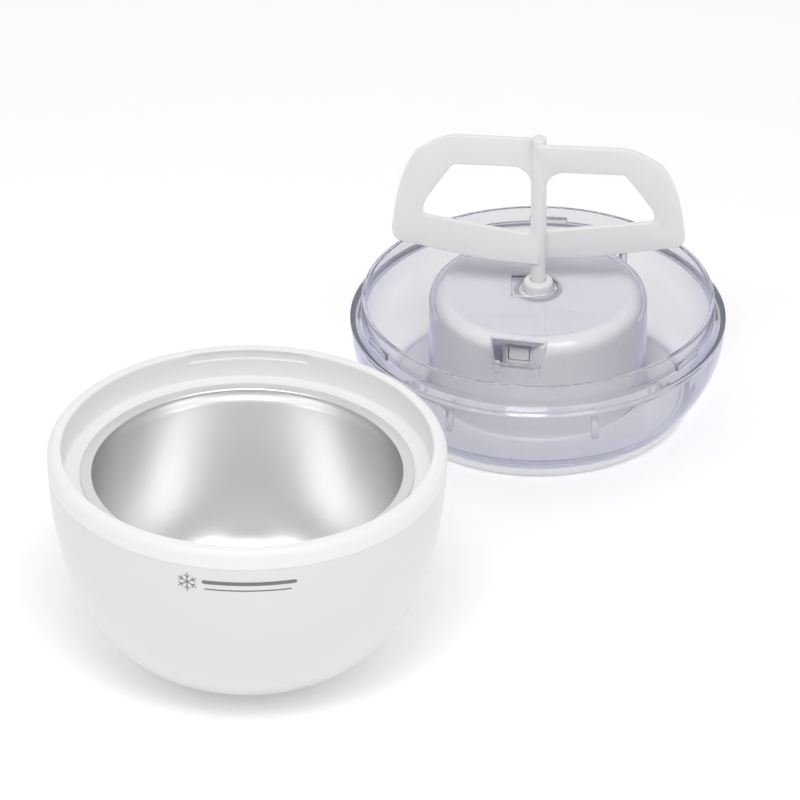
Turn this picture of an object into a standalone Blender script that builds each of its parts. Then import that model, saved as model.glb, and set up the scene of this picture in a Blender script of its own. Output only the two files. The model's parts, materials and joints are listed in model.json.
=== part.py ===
"""Ice cream maker with a freezer bowl, shown open: the bowl stands at the origin and, beside it
on +X, the lid rests upside down on its motor cap with the paddle standing up from it.

Sizes are metres. The lid, motor unit and paddle are drawn upright, as they sit on the bowl, in
their own frame whose z = 0 is the seat on the rim; one empty turns them over and puts them down.
"""

from math import atan2, cos, pi, radians, sin, sqrt

import bmesh
import bpy
from mathutils import Matrix, Vector

# ---------------------------------------------------------------- driving sizes
BOWL_R = 0.100
BOWL_H = 0.118
SHELL_WALL = 0.0025
RIM_INNER_R = 0.093
RIM_LEDGE = 0.0155
LINER_R = 0.0783
LINER_DEPTH = 0.1085
LINER_WALL = 0.0012
LEDGE_IN_R = 0.0804
FILL_AT = (-0.018, 0.010)
GAP = 0.0003

LID_OFFSET = 0.279
SEAT_HEIGHT = 0.052
FLANGE_R = 0.0975
FLANGE_T = 0.003
LIP_R = 0.0915
LIP_DEPTH = 0.0115
LID_WALL = 0.0023
SEAM_R = 0.078
SEAM_Z = 0.046
CUP_R = 0.057
CUP_FLOOR = -0.0174
CUP_ROUND = 0.009
DECK_Z = 0.043

HUB_R = 0.00775
STEM_R = 0.0038
PADDLE_T = 0.0030
PADDLE_REACH = 0.106
PADDLE_TURN = radians(63)
PADDLE_PITCH = radians(6)

PLATE_Z = 0.005
PLATE_T = 0.0016
MODULE = 0.001
PINION_TEETH = 10
IDLER_BIG_TEETH = 28
IDLER_SMALL_TEETH = 12
OUTPUT_TEETH = 30
ROTOR_AT = (0.0, -0.012)
SCREW_CIRCLE = 0.040
SCREW_ANGLES = (60, 180, 300)

LATCH_ANGLES = {"front": -20.7, "back": 148.0}
LATCH_PIVOT = (0.0475, 0.0210)
NOTCH_ANGLES = (32, 152, 272)
BUTTON_R = 0.012
GLAND_ANGLE = 148
WIRE_R = 0.0008

LATCH_NOSE_R = 0.0528

SIDES = 32
SMALL_SIDES = 24
TINY_SIDES = 12


def idler_place():
    """Where the idler meshes with both the output gear on the axis and the rotor's pinion."""
    to_output = MODULE * (OUTPUT_TEETH + IDLER_SMALL_TEETH) / 2
    to_rotor = MODULE * (IDLER_BIG_TEETH + PINION_TEETH) / 2
    apart = -ROTOR_AT[1]
    along = (to_output ** 2 - to_rotor ** 2 + apart ** 2) / (2 * apart)
    return (sqrt(to_output ** 2 - along ** 2), -along)


IDLER_AT = idler_place()

# ---------------------------------------------------------------- scene, materials, helpers
for old in list(bpy.data.objects):
    bpy.data.objects.remove(old, do_unlink=True)

parts = bpy.data.collections.new("ice_cream_maker")
cutters = bpy.data.collections.new("cutters")
cutters.hide_render = True
for group in (parts, cutters):
    bpy.context.scene.collection.children.link(group)


def material(name, colour, roughness, metallic=0.0, see_through=0.0):
    made = bpy.data.materials.new(name)
    made.use_nodes = True
    shader = made.node_tree.nodes["Principled BSDF"]
    shader.inputs["Base Color"].default_value = (*colour, 1.0)
    shader.inputs["Roughness"].default_value = roughness
    shader.inputs["Metallic"].default_value = metallic
    shader.inputs["Transmission Weight"].default_value = see_through
    return made


WHITE = material("white_plastic", (0.80, 0.80, 0.80), 0.25)
MILKY = material("milky_plastic", (0.76, 0.80, 0.77), 0.40, 0.0, 0.2)
CLEAR = material("clear_plastic", (0.82, 0.82, 0.95), 0.05, 0.0, 1.0)
ALUMINIUM = material("satin_aluminium", (0.80, 0.80, 0.82), 0.30, 1.0)
STEEL = material("steel", (0.62, 0.62, 0.64), 0.35, 1.0)
BRASS = material("brass", (0.80, 0.62, 0.30), 0.35, 1.0)
COPPER = material("enamelled_copper", (0.72, 0.35, 0.18), 0.35, 1.0)
FERRITE = material("ferrite", (0.05, 0.05, 0.055), 0.60)
ACETAL = material("gear_plastic", (0.85, 0.84, 0.80), 0.40)
RUBBER = material("grey_rubber", (0.55, 0.56, 0.57), 0.70)
GEL = material("cooling_gel", (0.45, 0.65, 0.85), 0.30)
INSULATION = material("wire_insulation", (0.25, 0.30, 0.55), 0.45)


def placed(thing, name, mat, parent=None, at=(0, 0, 0), turn=(0, 0, 0), group=parts):
    """An object of this mesh or curve, with its material, parent and place."""
    obj = bpy.data.objects.new(name, thing)
    group.objects.link(obj)
    if mat:
        thing.materials.append(mat)
    obj.parent = parent
    obj.location = at
    obj.rotation_euler = turn
    if group is cutters:
        obj.hide_render = True
        obj.display_type = "WIRE"
    return obj


def empty(name, parent=None, at=(0, 0, 0), turn=(0, 0, 0)):
    return placed(None, name, None, parent, at, turn)


def smooth(mesh):
    mesh.shade_smooth()
    mesh.set_sharp_from_angle(angle=radians(35))


def turned(name, profile, mat, parent=None, at=(0, 0, 0), turn=(0, 0, 0), sides=SIDES, group=parts):
    """A ring or a solid of revolution from (radius, height) points, outer side first, downwards.

    A profile whose ends are on the axis stays open there; any other is closed into a loop."""
    mesh = bpy.data.meshes.new(name)
    shape = bmesh.new()
    points = [shape.verts.new((r, 0.0, z)) for r, z in profile]
    on_axis = profile[0][0] == 0 and profile[-1][0] == 0
    following = points[1:] if on_axis else points[1:] + points[:1]
    for first, second in zip(points, following):
        shape.edges.new((first, second))
    shape.to_mesh(mesh)
    shape.free()
    obj = placed(mesh, name, mat, parent, at, turn, group)
    screw = obj.modifiers.new("turn", "SCREW")
    screw.steps = screw.render_steps = sides
    screw.use_merge_vertices = True
    screw.merge_threshold = 0.00001
    screw.use_smooth_shade = True
    return obj


def ring(name, r_in, r_out, low, high, mat, parent=None, at=(0, 0, 0), sides=SMALL_SIDES, group=parts):
    profile = [(r_out, high), (r_out, low), (r_in, low), (r_in, high)]
    return turned(name, profile, mat, parent, at, (0, 0, 0), sides, group)


def rod(name, radius, low, high, mat, parent=None, at=(0, 0), sides=SMALL_SIDES, group=parts):
    """An upright cylinder between two heights."""
    mesh = bpy.data.meshes.new(name)
    shape = bmesh.new()
    bmesh.ops.create_cone(shape, cap_ends=True, segments=sides, radius1=radius, radius2=radius,
                          depth=high - low)
    shape.to_mesh(mesh)
    shape.free()
    smooth(mesh)
    return placed(mesh, name, mat, parent, (at[0], at[1], (low + high) / 2), group=group)


def block(name, low, high, mat, parent=None, turn=0.0, group=parts):
    """A box from its lowest to its highest corner, turned about its parent's z axis."""
    mesh = bpy.data.meshes.new(name)
    shape = bmesh.new()
    size = [b - a for a, b in zip(low, high)]
    middle = [(a + b) / 2 for a, b in zip(low, high)]
    bmesh.ops.create_cube(shape, size=1.0, matrix=Matrix.Diagonal((*size, 1.0)))
    bmesh.ops.translate(shape, verts=shape.verts, vec=middle)
    shape.to_mesh(mesh)
    shape.free()
    return placed(mesh, name, mat, parent, turn=(0, 0, turn), group=group)


def outline(name, loops, thickness, mat, parent=None, at=(0, 0, 0), turn=(0, 0, 0), group=parts):
    """A flat plate of this thickness from one outer loop of points and any holes."""
    curve = bpy.data.curves.new(name, "CURVE")
    curve.dimensions = "2D"
    curve.fill_mode = "BOTH"
    curve.extrude = thickness / 2
    for loop in loops:
        spline = curve.splines.new("POLY")
        spline.points.add(len(loop) - 1)
        for point, (x, y) in zip(spline.points, loop):
            point.co = (x, y, 0.0, 1.0)
        spline.use_cyclic_u = True
    return placed(curve, name, mat, parent, at, turn, group)


def tube(name, route, radius, mat, parent=None):
    curve = bpy.data.curves.new(name, "CURVE")
    curve.dimensions = "3D"
    curve.bevel_depth = radius
    curve.bevel_resolution = 1
    curve.use_fill_caps = True
    spline = curve.splines.new("POLY")
    spline.points.add(len(route) - 1)
    for point, place in zip(spline.points, route):
        point.co = (*place, 1.0)
    return placed(curve, name, mat, parent)


def as_mesh(obj):
    """The same curve as a welded mesh object, which a Boolean can take."""
    bpy.context.view_layer.update()
    graph = bpy.context.evaluated_depsgraph_get()
    mesh = bpy.data.meshes.new_from_object(obj.evaluated_get(graph))
    shape = bmesh.new()
    shape.from_mesh(mesh)
    bmesh.ops.remove_doubles(shape, verts=shape.verts, dist=0.000001)
    shape.to_mesh(mesh)
    shape.free()
    name, group, matrix = obj.name, obj.users_collection[0], obj.matrix_world.copy()
    bpy.data.objects.remove(obj, do_unlink=True)
    made = placed(mesh, name, None, group=group)
    made.matrix_world = matrix
    return made


def combine(target, other, operation):
    change = target.modifiers.new(other.name, "BOOLEAN")
    change.operation = operation
    change.object = other


def cut(target, *others):
    for other in others:
        combine(target, other, "DIFFERENCE")


def join(target, *others):
    for other in others:
        combine(target, other, "UNION")


def arc(centre, radius, start, end, steps):
    """Points round a centre, from one angle to another in degrees, both ends included."""
    angles = [radians(start + (end - start) * i / steps) for i in range(steps + 1)]
    return [(centre[0] + radius * cos(a), centre[1] + radius * sin(a)) for a in angles]


def spaced(first, last, steps):
    return [first + (last - first) * i / steps for i in range(steps + 1)]


# ---------------------------------------------------------------- freezer bowl
def shell_radius(drop, inset=0.0):
    """Outer radius of the bowl this far below the rim: a full, almost round belly."""
    belly = max(1 - (drop / (1.2 * BOWL_R)) ** 2.08, 0.0) ** (1 / 3.4)
    return BOWL_R * belly - inset


def liner_radius(drop):
    """Inner radius of the metal liner this far below the rim: steep sides and a full bottom."""
    return LINER_R * max(1 - (drop / (LINER_DEPTH + 0.001)) ** 3.4, 0.0) ** (1 / 5)


def eased(first, last, steps):
    """Values that crowd towards the last, for a curve that turns in sharply at its end."""
    return [first + (last - first) * sin(pi / 2 * i / steps) for i in range(steps + 1)]


def offset(line, distance):
    """The line of points moved sideways, to the right of its direction of travel."""
    moved = []
    for i, (r, z) in enumerate(line):
        before, after = line[max(i - 1, 0)], line[min(i + 1, len(line) - 1)]
        along = Vector((after[0] - before[0], after[1] - before[1])).normalized()
        moved.append((max(r + distance * along.y, 0.0), z - distance * along.x))
    return moved


def shell_line():
    """The bowl's outer line, from the seam under the rim ring to the middle of the foot."""
    belly = [(shell_radius(d), BOWL_H - d) for d in eased(0.0105, BOWL_H, 11)]
    return [*belly, (0.0, 0.0)]


def liner_line():
    """The liner's inner line, from just under its rolled edge to the middle of its bottom."""
    sides = [(liner_radius(d), BOWL_H - d) for d in eased(RIM_LEDGE + 0.006, LINER_DEPTH, 9)]
    return [*sides, (0.0, BOWL_H - LINER_DEPTH)]


def outer_shell():
    """The white outer body: up the inside of its wall, over the seam and down to the flat foot."""
    profile = offset(shell_line(), SHELL_WALL)[::-1] + shell_line()
    body = turned("outer_shell", profile, WHITE)
    cut(body, rod("fill_hole", 0.0064, -0.01, 0.01, None, at=FILL_AT, group=cutters))
    return body


def rim_ring():
    """The milky ring of the rim, with the recess for the lid's lip and the ledge of the liner."""
    ledge = BOWL_H - RIM_LEDGE
    under = ledge - 0.003
    groove = ledge - 0.0012
    skirt = shell_radius(0.010, SHELL_WALL) - GAP
    profile = [
        *arc((0.0958, BOWL_H - 0.0042), 0.0042, 75, 0, 4),
        (shell_radius(0.009), BOWL_H - 0.0102),
        (skirt, BOWL_H - 0.0102),
        (skirt - 0.0008, under),
        (LEDGE_IN_R, under),
        (LEDGE_IN_R, ledge),
        (0.0808, ledge), (0.0808, groove), (0.0831, groove), (0.0831, ledge),
        (RIM_INNER_R - 0.0012, ledge),
        *arc((RIM_INNER_R + 0.0012, BOWL_H - 0.0012), 0.0012, 180, 100, 3),
    ]
    ring_body = turned("rim_ring", profile, MILKY)
    for angle in NOTCH_ANGLES:
        for step in (-12, 0, 12):
            cut(ring_body, block(f"rim_notch_{angle + step}", (0.085, -0.0105, BOWL_H - 0.0055),
                                 (0.0946, 0.0105, BOWL_H + 0.01), None, turn=radians(angle + step),
                                 group=cutters))
    return ring_body


def liner():
    """The aluminium liner: a rolled edge on the rim's ledge, steep sides and a full bottom."""
    ledge = BOWL_H - RIM_LEDGE + GAP
    rolled_edge = [(0.0776, ledge - 0.0018), (0.0779, ledge - 0.0002), (0.0788, ledge + 0.0008),
                   (0.0804, ledge + 0.0011), (0.0836, ledge + 0.0010), (0.0836, ledge),
                   (0.0799, ledge), (0.0790, ledge - 0.0012)]
    profile = liner_line()[::-1] + rolled_edge + offset(liner_line(), -LINER_WALL)
    return turned("liner", profile, ALUMINIUM)


def coolant_fill():
    """The freezing gel that fills the double wall, clear of both skins."""
    clearance = 0.0008
    inner = offset(liner_line(), -LINER_WALL - clearance)
    outer = offset(shell_line(), SHELL_WALL + clearance)
    outer = [(r, z) for r, z in outer if z < inner[0][1]]
    return turned("coolant_fill", inner[::-1] + outer, GEL)


def fill_plug():
    """The plug that closes the hole the gel was poured through, set just inside the foot."""
    return rod("fill_plug", 0.0061, 0.0006, 0.0030, RUBBER, at=FILL_AT)


def freezer_bowl():
    outer_shell()
    rim_ring()
    liner()
    ring("liner_gasket", 0.0812, 0.0827, BOWL_H - RIM_LEDGE - 0.0008, BOWL_H - RIM_LEDGE, RUBBER,
         sides=SIDES)
    coolant_fill()
    fill_plug()


# ---------------------------------------------------------------- clear lid and hub
def dome_radius(z, inset=0.0):
    """Outer radius of the lid's wall: a quarter ellipse that carries on the bowl's curve."""
    rise = (z - FLANGE_T) / 0.0723
    return (FLANGE_R - 0.0005) * sqrt(1 - rise * rise) - inset


def clear_lid(frame):
    """Dome, deck and motor cup in one wall, with a lip that drops into the bowl's recess."""
    dome_z = spaced(SEAM_Z - 0.0015, FLANGE_T, 7)
    dome_out = [(dome_radius(z), z) for z in dome_z]
    dome_in = [(dome_radius(z, LID_WALL), z) for z in spaced(FLANGE_T, 0.036, 6)]
    shoulder = arc((CUP_R - CUP_ROUND - 0.0004, CUP_FLOOR + CUP_ROUND), CUP_ROUND, 0, -90, 4)
    inner_shoulder = arc((CUP_R - CUP_ROUND - 0.0004, CUP_FLOOR + CUP_ROUND),
                         CUP_ROUND - LID_WALL, -90, 0, 4)
    profile = [
        (SEAM_R - 0.0006, SEAM_Z),
        *dome_out,
        (FLANGE_R, FLANGE_T - 0.0006),
        (FLANGE_R, 0.0004),
        (FLANGE_R - 0.0004, GAP),
        (LIP_R, GAP),
        (LIP_R, -LIP_DEPTH + 0.0004),
        (LIP_R - 0.0004, -LIP_DEPTH),
        (LIP_R - LID_WALL + 0.0004, -LIP_DEPTH),
        (LIP_R - LID_WALL, -LIP_DEPTH + 0.0004),
        (LIP_R - LID_WALL, 0.0010),
        *dome_in,
        (0.0795, DECK_Z - LID_WALL - 0.0006),
        (0.0775, DECK_Z - LID_WALL),
        (CUP_R + 0.0025, DECK_Z - LID_WALL),
        (CUP_R + 0.0005, DECK_Z - LID_WALL - 0.0020),
        *shoulder,
        (HUB_R + 0.0004, CUP_FLOOR),
        (HUB_R + 0.0004, CUP_FLOOR + LID_WALL - 0.0001),
        *inner_shoulder,
        (CUP_R + 0.0005 - LID_WALL, DECK_Z),
        (SEAM_R - LID_WALL - 0.0003, DECK_Z),
        (SEAM_R - LID_WALL - 0.0003, SEAM_Z),
    ]
    lid = turned("clear_lid", profile, CLEAR, frame)
    for side, angle in LATCH_ANGLES.items():
        cut(lid, block(f"lid_window_{side}", (0.0490, -0.0068, -0.0126), (0.065, 0.0068, -0.0022),
                       None, frame, radians(angle), cutters))
    flat = [(0.0138, -0.0106), (0.0138, 0.0106)]
    pocket = outline("hub_pocket", [flat + arc((0.0, 0.0), 0.0106, 90, 270, 12)], 0.0100, None, frame,
                     (0, 0, CUP_FLOOR - 0.0038), (0, 0, radians(58)), cutters)
    cut(lid, as_mesh(pocket))
    for number, angle in enumerate(NOTCH_ANGLES, 1):
        join(lid, block(f"lip_tab_{number}", (LIP_R - 0.0010, -0.0100, -0.0050),
                        (LIP_R + 0.0012, 0.0100, -0.0015), None, frame, radians(angle), cutters))
    for number, angle in enumerate((-50, -2, 130, 178), 1):
        join(lid, block(f"wall_rib_{number}", (0.0870, -0.0012, 0.0060), (0.0950, 0.0012, 0.0200),
                        None, frame, radians(angle), cutters))
    return lid


def drive_hub(frame):
    """The hub that hangs in the cup's floor: shaft socket above, stem socket below."""
    top, bottom = -0.0100, -0.0215
    flange_low = CUP_FLOOR + LID_WALL + GAP
    profile = [
        (0.0085, top), (0.0085, flange_low + 0.0010), (0.0100, flange_low + 0.0010),
        (0.0100, flange_low), (HUB_R, flange_low), (HUB_R, -0.0203), (0.0066, bottom),
        (STEM_R + GAP, bottom), (STEM_R + GAP, -0.0165), (0.0, -0.0165),
    ]
    upper = [(0.0, -0.0154), (0.0044, -0.0154), (0.0044, top)]
    return turned("drive_hub", upper + profile, ACETAL, frame, sides=SMALL_SIDES)


def hub_seal(frame):
    """The soft washer between the hub's flange and the motor housing's floor."""
    low = CUP_FLOOR + LID_WALL
    return ring("hub_seal", 0.0106, 0.0125, low + GAP, low + 0.0011, RUBBER, frame)


# ---------------------------------------------------------------- paddle
def paddle(frame):
    """Two pitched wings that follow the liner's wall, one window in each, on a round stem."""
    clearance = 0.0014
    low, high = -PADDLE_REACH, -0.0325
    side = [(liner_radius(-z) - clearance, z) for z in (-0.0985, -0.0920, -0.0830, -0.0730, -0.0620, -0.0500)]
    wing = [
        (0.0, low + 0.0012), (0.0400, low + 0.0014),
        *arc((0.0430, low + 0.0080), 0.0064, -80, -40, 2),
        *side,
        *arc((side[-1][0] - 0.0062, high - 0.0160), 0.0060, 10, 80, 3),
        (0.0500, high - 0.0060), (0.0250, high - 0.0014), (0.0, high),
    ]
    floor, top, end_top = -0.0875, -0.0500, -0.0580
    window = [
        *arc((0.0140, floor + 0.0100), 0.0100, 180, 270, 4),
        *arc((0.0430, floor + 0.0030), 0.0030, 270, 320, 2),
        (0.0530, floor + 0.0120), (0.0590, end_top - 0.0080),
        *arc((0.0570, end_top - 0.0030), 0.0030, 0, 90, 3),
        *arc((0.0060, top - 0.0020), 0.0020, 90, 180, 2),
    ]
    holder = empty("paddle_axis", frame, turn=(0, 0, PADDLE_TURN))
    wings = []
    for number, half_turn in enumerate((0.0, pi), 1):
        side_holder = empty(f"wing_side_{number}", holder, turn=(0, 0, half_turn))
        middle = (low + high) / 2
        tilt = empty(f"wing_pitch_{number}", side_holder, (0, 0, middle), (PADDLE_PITCH, 0, 0))
        loops = [[(x, z - middle) for x, z in loop] for loop in (wing, window)]
        blade = as_mesh(outline(f"wing_{number}", loops, PADDLE_T, None, tilt, turn=(pi / 2, 0, 0),
                                group=cutters))
        wings.append(blade)
    stem = turned("paddle", [
        (0.0, -0.0172), (0.0030, -0.0172), (STEM_R, -0.0180), (STEM_R, low + 0.0012),
        (0.0026, low - 0.0002), (0.0, low - 0.0002),
    ], MILKY, frame, sides=SMALL_SIDES)
    join(stem, *wings)
    return stem


# ---------------------------------------------------------------- motor unit
def motor_cap(frame):
    """The white cap that closes the lid's top; the whole machine's lid stands on it here."""
    top, seam = SEAT_HEIGHT, SEAM_Z + GAP
    profile = [
        (BUTTON_R + 0.0005, top),
        *arc((0.0730, top - 0.0050), 0.0050, 90, 0, 5),
        (SEAM_R - 0.0002, seam),
        (SEAM_R - LID_WALL - 0.0004, seam),
        (SEAM_R - LID_WALL - 0.0006, top - 0.0048),
        (0.0715, top - 0.0024),
        (BUTTON_R + 0.0005, top - 0.0024),
    ]
    cap = turned("motor_cap", profile, WHITE, frame)
    for number, x in enumerate((-0.016, 0.016), 1):
        join(cap, rod(f"switch_post_{number}", 0.0026, 0.0436, top - 0.0015, None, frame, (x, 0.0),
                      TINY_SIDES, cutters))
    return cap


def motor_housing(frame):
    """The white cup that holds the motor, with a wide flange that lies on the lid's deck."""
    floor_low, floor_high = -0.0136, -0.0114
    outer_low, outer_high = 0.0534, 0.0543
    wall = 0.0021
    deck = DECK_Z + GAP
    profile = [
        (0.0748, deck + 0.0020), (0.0748, deck), (outer_high, deck), (outer_low, -0.0060),
        *arc((outer_low - 0.0070, -0.0066), 0.0070, -15, -90, 3),
        (0.0110, floor_low), (0.0110, floor_high), (outer_low - 0.0076, floor_high),
        *arc((outer_low - 0.0070, -0.0066), 0.0048, -70, 0, 2),
        (outer_high - wall, deck + 0.0020),
    ]
    housing = turned("motor_housing", profile, WHITE, frame)
    for number, angle in enumerate(SCREW_ANGLES, 1):
        at = around(SCREW_CIRCLE, angle)
        join(housing, rod(f"plate_boss_{number}", 0.0038, floor_low + 0.0010, PLATE_Z - GAP, None, frame, at,
                          TINY_SIDES, cutters))
        cut(housing, rod(f"boss_hole_{number}", 0.0017, -0.0060, PLATE_Z + 0.002, None, frame, at,
                         TINY_SIDES, cutters))
    pivot_r, pivot_z = LATCH_PIVOT
    for side, angle in LATCH_ANGLES.items():
        turn = radians(angle)
        for y in (-0.0075, 0.0075):
            join(housing, block(f"latch_lug_{side}_{'a' if y < 0 else 'b'}",
                                (pivot_r - 0.0025, y - 0.0013, pivot_z - 0.0030),
                                (outer_low - 0.0004, y + 0.0013, pivot_z + 0.0030),
                                None, frame, turn, cutters))
        cut(housing, block(f"nose_window_{side}", (0.0440, -0.0058, -0.0114), (0.058, 0.0058, -0.0032),
                           None, frame, turn, cutters))
        holder = empty(f"pin_line_{side}", frame, turn=(0, 0, turn))
        pin_cutter = rod(f"pin_hole_{side}", 0.0013, -0.0120, 0.0120, None, holder, group=cutters,
                         sides=TINY_SIDES)
        pin_cutter.location = (pivot_r, 0, pivot_z)
        pin_cutter.rotation_euler = (pi / 2, 0, 0)
        cut(housing, pin_cutter)
    return housing


def latch(frame, side, angle):
    """A release lever on a cross pin; its nose fills the housing's window, behind the lid's own."""
    pivot_r, pivot_z = LATCH_PIVOT
    hinge = empty(f"latch_{side}_hinge", frame, turn=(0, 0, radians(angle)))
    foot = -0.0106
    lever = block(f"latch_{side}", (pivot_r - 0.0018, -0.0054, foot), (pivot_r + 0.0018, 0.0054, 0.0236),
                  WHITE, hinge)
    nose = block(f"latch_nose_{side}", (pivot_r, -0.0054, foot), (LATCH_NOSE_R, 0.0054, -0.0036), None,
                 hinge, group=cutters)
    eye = rod(f"latch_eye_{side}", 0.00125, -0.0080, 0.0080, None, hinge, group=cutters, sides=TINY_SIDES)
    eye.location = (pivot_r, 0, pivot_z)
    eye.rotation_euler = (pi / 2, 0, 0)
    join(lever, nose)
    cut(lever, eye)
    pin = rod(f"latch_pin_{side}", 0.0010, -0.0092, 0.0092, STEEL, hinge, sides=TINY_SIDES)
    pin.location = (pivot_r, 0, pivot_z)
    pin.rotation_euler = (pi / 2, 0, 0)


def switch_and_button(frame):
    """The push button in the middle of the cap and the switch that it works."""
    top = SEAT_HEIGHT
    button = rod("power_button", BUTTON_R, top - 0.0046, top - 0.0006, RUBBER, frame)
    plunger = rod("button_stem", 0.0024, top - 0.0100, top - 0.0040, None, frame, group=cutters,
                  sides=TINY_SIDES)
    join(button, plunger)
    body = block("switch_body", (-0.0190, -0.0060, 0.0362), (0.0190, 0.0060, 0.0432), FERRITE, frame)
    cut(body, rod("switch_bore", 0.0030, 0.0395, 0.0500, None, frame, group=cutters, sides=TINY_SIDES))


def hole_loop(radius, centre=(0.0, 0.0), sides=TINY_SIDES):
    """A circle as one loop of points."""
    return arc(centre, radius, 360, 360 / sides, sides - 1)


def around(radius, angle):
    """The point at this radius and this angle in degrees."""
    return (radius * cos(radians(angle)), radius * sin(radians(angle)))


def gear_plate(frame):
    """The steel plate between motor and gears, with holes for the bushes, pin and screws."""
    loops = [hole_loop(0.0436, sides=SIDES), hole_loop(0.0068, sides=SMALL_SIDES),
             hole_loop(0.0033, ROTOR_AT), hole_loop(0.0018, IDLER_AT)]
    loops += [hole_loop(0.0018, around(SCREW_CIRCLE, angle)) for angle in SCREW_ANGLES]
    outline("gear_plate", loops, PLATE_T, STEEL, frame, (0, 0, PLATE_Z + PLATE_T / 2))


def motor(frame):
    """Stator can, bobbin and winding over the plate, and the bushes that carry the shafts."""
    x, y = ROTOR_AT
    base = PLATE_Z + PLATE_T + GAP
    can_top = base + 0.0270
    can = [(0.0, can_top), (0.0260, can_top), (0.0260, base), (0.0250, base),
           (0.0250, can_top - 0.0010), (0.0, can_top - 0.0010)]
    turned("stator_can", can, STEEL, frame, (x, y, 0), sides=SMALL_SIDES)
    low, high = base + 0.0012, can_top - 0.0016
    bobbin = [(0.0245, high), (0.0245, high - 0.0012), (0.0172, high - 0.0012), (0.0172, low + 0.0012),
              (0.0245, low + 0.0012), (0.0245, low), (0.0158, low), (0.0158, high)]
    turned("stator_bobbin", bobbin, ACETAL, frame, (x, y, 0), sides=SMALL_SIDES)
    ring("stator_coil", 0.0176, 0.0238, low + 0.0016, high - 0.0016, COPPER, frame, (x, y, 0))
    ring("rotor_bush", 0.0015, 0.0029, PLATE_Z, PLATE_Z + PLATE_T + 0.0002, BRASS, frame, (x, y, 0),
         TINY_SIDES)
    ring("output_bush", 0.0043, 0.0065, PLATE_Z - 0.0012, PLATE_Z + PLATE_T, BRASS, frame)
    rod("idler_pin", 0.0015, -0.0110, PLATE_Z + PLATE_T, STEEL, frame, IDLER_AT, TINY_SIDES)
    for number, angle in enumerate(SCREW_ANGLES, 1):
        at = (*around(SCREW_CIRCLE, angle), 0)
        head = PLATE_Z + PLATE_T + GAP
        turned(f"plate_screw_{number}", [
            (0.0, head + 0.0014), (0.0022, head + 0.0012), (0.0029, head), (0.0014, head),
            (0.0014, -0.0050), (0.0, -0.0056),
        ], STEEL, frame, at, sides=TINY_SIDES)


def gear_outline(teeth, phase):
    """A spur gear's outer loop: four points a tooth, with generous backlash."""
    pitch_r = MODULE * teeth / 2
    tip_r, root_r = pitch_r + 0.75 * MODULE, pitch_r - 1.15 * MODULE
    step = 2 * pi / teeth
    points = []
    for tooth in range(teeth):
        middle = phase + tooth * step
        for radius, half_width in ((root_r, 0.75), (tip_r, 0.34), (tip_r, -0.34), (root_r, -0.75)):
            angle = middle - half_width * MODULE / radius
            points.append((radius * cos(angle), radius * sin(angle)))
    return points


def gear_phase(own_teeth, other_teeth, other_phase, angle):
    """The phase that puts this gear's gap on the other gear's tooth along the line of centres."""
    step, other_step = 2 * pi / own_teeth, 2 * pi / other_teeth
    offset = ((angle - other_phase) / other_step) % 1.0
    return angle + pi + step * (0.5 + offset)


def gear_train(frame):
    """Rotor pinion to idler to output gear, slowing the motor seven times.

    The idler's small wheel shares the output gear's level, and its large one runs just above it."""
    low, level = -0.0085, -0.0034
    output_t, small_t, big_t, pinion_t = level - 0.0005 - low, level + 0.0004 - low, 0.0034, 0.0044
    to_idler, to_rotor = Vector(IDLER_AT), Vector(ROTOR_AT) - Vector(IDLER_AT)
    idler_line = atan2(to_idler.y, to_idler.x)
    rotor_line = atan2(to_rotor.y, to_rotor.x)
    idler_phase = gear_phase(IDLER_SMALL_TEETH, OUTPUT_TEETH, 0.0, idler_line)
    pinion_phase = gear_phase(PINION_TEETH, IDLER_BIG_TEETH, idler_phase, rotor_line)
    outline("output_gear", [gear_outline(OUTPUT_TEETH, 0.0), hole_loop(0.0043)], output_t, ACETAL, frame,
            (0, 0, low + output_t / 2))
    bore = hole_loop(0.0018)
    small = outline("idler_small", [gear_outline(IDLER_SMALL_TEETH, idler_phase), bore], small_t, None,
                    frame, (*IDLER_AT, low + small_t / 2), group=cutters)
    idler = as_mesh(outline("idler_gear", [gear_outline(IDLER_BIG_TEETH, idler_phase), bore], big_t,
                            ACETAL, frame, (*IDLER_AT, level + big_t / 2)))
    join(idler, as_mesh(small))
    pinion = outline("pinion", [gear_outline(PINION_TEETH, pinion_phase)], pinion_t, None, frame,
                     (*ROTOR_AT, level + 0.0002 + pinion_t / 2), group=cutters)
    shaft = rod("rotor_shaft", 0.0012, level + 0.0004, 0.0325, STEEL, frame, ROTOR_AT, TINY_SIDES)
    join(shaft, as_mesh(pinion))
    ring("rotor_magnet", 0.0016, 0.0140, 0.0095, 0.0305, FERRITE, frame, (*ROTOR_AT, 0))
    rod("output_shaft", 0.0040, CUP_FLOOR + 0.0024, PLATE_Z + PLATE_T - 0.0002, STEEL, frame)


def stadium(half_width, half_height):
    """A flat oval as one loop: two half circles joined by straight runs."""
    reach = half_width - half_height
    return arc((reach, 0.0), half_height, -90, 90, 6) + arc((-reach, 0.0), half_height, 90, 270, 6)


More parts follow.
